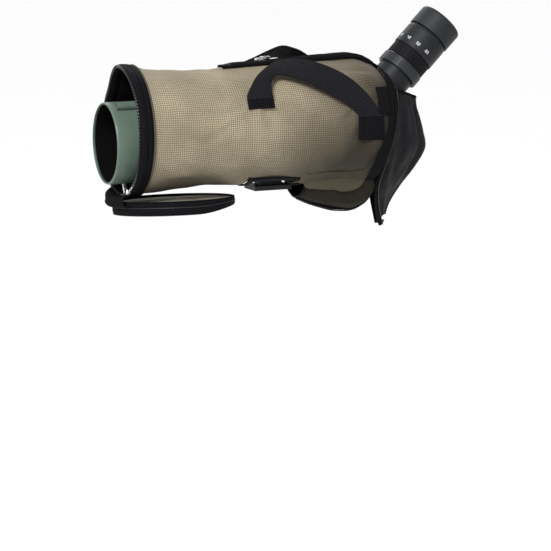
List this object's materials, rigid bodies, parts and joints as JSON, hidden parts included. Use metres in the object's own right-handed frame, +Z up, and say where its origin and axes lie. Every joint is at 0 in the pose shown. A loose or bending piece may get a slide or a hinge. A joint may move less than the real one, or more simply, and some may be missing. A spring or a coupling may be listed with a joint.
{
  "type": "angled spotting scope in a field case",
  "caption": "Angled zoom spotting scope with a sliding sunshade, focus drive, turning collar, zoom eyepiece and a padded zip-open field case with handles.",
  "frame": {"origin": "centre of the tripod thread at the foot's bottom face", "axes": "-X looks out of the objective, +X towards the eyepiece end, +Y is the side away from the clamp knob, +Z up"},
  "size_m": [0.4626, 0.1618, 0.2686],
  "materials": {
    "collar_black": "fine matt black paint",
    "liner_felt": "black felt",
    "brass": "machined brass",
    "screw_steel": "brushed steel",
    "knob_rubber": "matt black rubber",
    "green_paint": "grey-green satin paint",
    "tube_black": "flat black paint",
    "cell_black": "black anodised",
    "lens_glass": "coated optical glass",
    "prism_glass": "polished prism glass",
    "ring_seal": "black sealing rubber",
    "eyepiece_black": "satin black",
    "ring_grey": "dark grey satin anodised",
    "scale_black": "satin black with white numbers",
    "grip_rubber": "ribbed black rubber",
    "eyecup_rubber": "smooth black rubber",
    "khaki_weave": "khaki woven nylon",
    "black_lining": "black padded lining",
    "black_weave": "black woven nylon",
    "webbing": "black ribbed webbing",
    "zip_tape": "black zip tape and coil",
    "zip_metal": "bright nickel",
    "hood_fabric": "black coated fabric"
  },
  "bodies": {
    "collar": {"tripod_collar": "collar_black", "collar_liner": "liner_felt", "thread_bush": "brass"},
    "clamp": {"clamp_screw": "screw_steel", "clamp_knob": "knob_rubber"},
    "shade": {"sunshade": "green_paint", "sunshade_felt": "liner_felt", "sight_tube": "green_paint"},
    "focus_carriage": {"focus_cell": "cell_black", "focus_lens": "lens_glass", "focus_arm": "screw_steel"},
    "coarse_drive": {"focus_shaft": "screw_steel", "coarse_knob": "knob_rubber"},
    "fine_drive": {"fine_knob": "knob_rubber"},
    "lock": {"lock_ring": "ring_grey"},
    "zoom": {"zoom_ring": "scale_black", "zoom_grip": "grip_rubber"},
    "zoom_lower": {"zoom_cell_lower": "brass", "zoom_lens_lower": "lens_glass"},
    "zoom_upper": {"zoom_cell_upper": "brass", "zoom_lens_upper": "lens_glass"},
    "eyecup": {"eyecup_sleeve": "eyepiece_black", "eyecup_rubber": "eyecup_rubber"},
    "rim_slider": {"rim_zip_slider": "zip_metal"},
    "front_cap": {"cap_disc": "khaki_weave", "cap_gusset": "zip_tape"},
    "zip_slider": {"top_zip_slider": "zip_metal"},
    "zip_pull": {"top_zip_pull": "zip_metal"},
    "handle_near": {"near_handle": "webbing"},
    "handle_far": {"far_handle": "webbing"},
    "hood": {"rear_hood": "hood_fabric", "hood_snap": "zip_metal"},
    "scope": {"barrel": "tube_black", "objective_cell": "cell_black", "objective_front_lens": "lens_glass", "objective_rear_lens": "lens_glass", "lens_spacer": "cell_black", "lens_retainer": "cell_black", "objective_o_ring": "ring_seal", "light_baffles": "tube_black", "prism_housing": "green_paint", "rear_housing": "green_paint", "housing_screws": "screw_steel", "prism_cage": "tube_black", "roof_prism": "prism_glass", "relay_prism": "prism_glass", "eyepiece_mount": "ring_grey", "mount_o_ring": "ring_seal", "eyepiece_body": "eyepiece_black", "field_lens": "lens_glass", "eyepiece_head": "eyepiece_black", "eye_lens": "lens_glass", "case_shell": "khaki_weave", "case_lining": "black_lining", "rim_zip_tape": "zip_tape", "cap_hinge": "black_weave", "top_zip_tape": "zip_tape", "bottom_flap": "khaki_weave", "rear_gusset": "black_weave", "handle_patches": "webbing"}
  },
  "joints": [
    {"name": "collar_turn", "type": "hinge", "parent": "collar", "child": "scope", "pos_m": [0, 0, 0.066], "axis": [1, 0, 0], "range_deg": [-12, 12]},
    {"name": "clamp_turn", "type": "hinge", "parent": "collar", "child": "clamp", "pos_m": [0, -0.05, 0.066], "axis": [0, -1, 0], "range_deg": [-360, 90]},
    {"name": "shade_slide", "type": "slide", "parent": "scope", "child": "shade", "axis": [1, 0, 0], "range_m": [0, 0.034]},
    {"name": "coarse_focus", "type": "hinge", "parent": "scope", "child": "coarse_drive", "pos_m": [0.06, 0, 0.118], "axis": [1, 0, 0], "range_deg": [-360, 360]},
    {"name": "fine_focus", "type": "hinge", "parent": "scope", "child": "fine_drive", "pos_m": [0.085, 0, 0.118], "axis": [1, 0, 0], "range_deg": [-1441, 1441]},
    {"name": "focus_slide", "type": "slide", "parent": "scope", "child": "focus_carriage", "axis": [1, 0, 0], "range_m": [-0.0069, 0.0069]},
    {"name": "lock_turn", "type": "hinge", "parent": "scope", "child": "lock", "pos_m": [0.17783, 0, 0.13883], "axis": [0.7071, 0, 0.7071], "range_deg": [0, 45]},
    {"name": "zoom_turn", "type": "hinge", "parent": "scope", "child": "zoom", "pos_m": [0.204, 0, 0.165], "axis": [0.7071, 0, 0.7071], "range_deg": [0, 130]},
    {"name": "zoom_lower_slide", "type": "slide", "parent": "scope", "child": "zoom_lower", "axis": [0.7071, 0, 0.7071], "range_m": [0, 0.006]},
    {"name": "zoom_upper_slide", "type": "slide", "parent": "scope", "child": "zoom_upper", "axis": [0.7071, 0, 0.7071], "range_m": [-0.005, 0]},
    {"name": "eyecup_slide", "type": "slide", "parent": "scope", "child": "eyecup", "axis": [0.7071, 0, 0.7071], "range_m": [0, 0.009]},
    {"name": "rim_zip", "type": "hinge", "parent": "scope", "child": "rim_slider", "pos_m": [-0.191, 0, 0.08], "axis": [1, 0, 0], "range_deg": [-300, 0]},
    {"name": "cap_fold", "type": "hinge", "parent": "scope", "child": "front_cap", "pos_m": [-0.198, 0, -0.003], "axis": [0, 0.9976, -0.0698], "range_deg": [0, 175]},
    {"name": "top_zip", "type": "slide", "parent": "scope", "child": "zip_slider", "axis": [0.9992, 0, 0.0406], "range_m": [-0.044, 0.108]},
    {"name": "pull_lift", "type": "hinge", "parent": "zip_slider", "child": "zip_pull", "pos_m": [-0.0069, 0, 0.16096], "axis": [0, -1, 0], "range_deg": [0, 90]},
    {"name": "near_handle_swing", "type": "hinge", "parent": "scope", "child": "handle_near", "pos_m": [-0.0345, -0.06432, 0.11565], "axis": [0.9778, -0.0999, -0.1844], "range_deg": [0, 36]},
    {"name": "far_handle_swing", "type": "hinge", "parent": "scope", "child": "handle_far", "pos_m": [-0.0345, 0.06432, 0.11565], "axis": [0.9778, 0.0999, -0.1844], "range_deg": [-36, 0]},
    {"name": "hood_swing", "type": "hinge", "parent": "scope", "child": "hood", "pos_m": [0.146, 0, 0.118], "axis": [0, 1, 0], "range_deg": [-12, 0]}
  ],
  "couplings": [
    {"joint": "coarse_focus", "follows": "focus_slide", "rad_per_m": 909.09},
    {"joint": "fine_focus", "follows": "focus_slide", "rad_per_m": 3636.4},
    {"joint": "zoom_lower_slide", "follows": "zoom_turn", "m_per_rad": 0.0026},
    {"joint": "zoom_upper_slide", "follows": "zoom_turn", "m_per_rad": -0.0022}
  ]
}
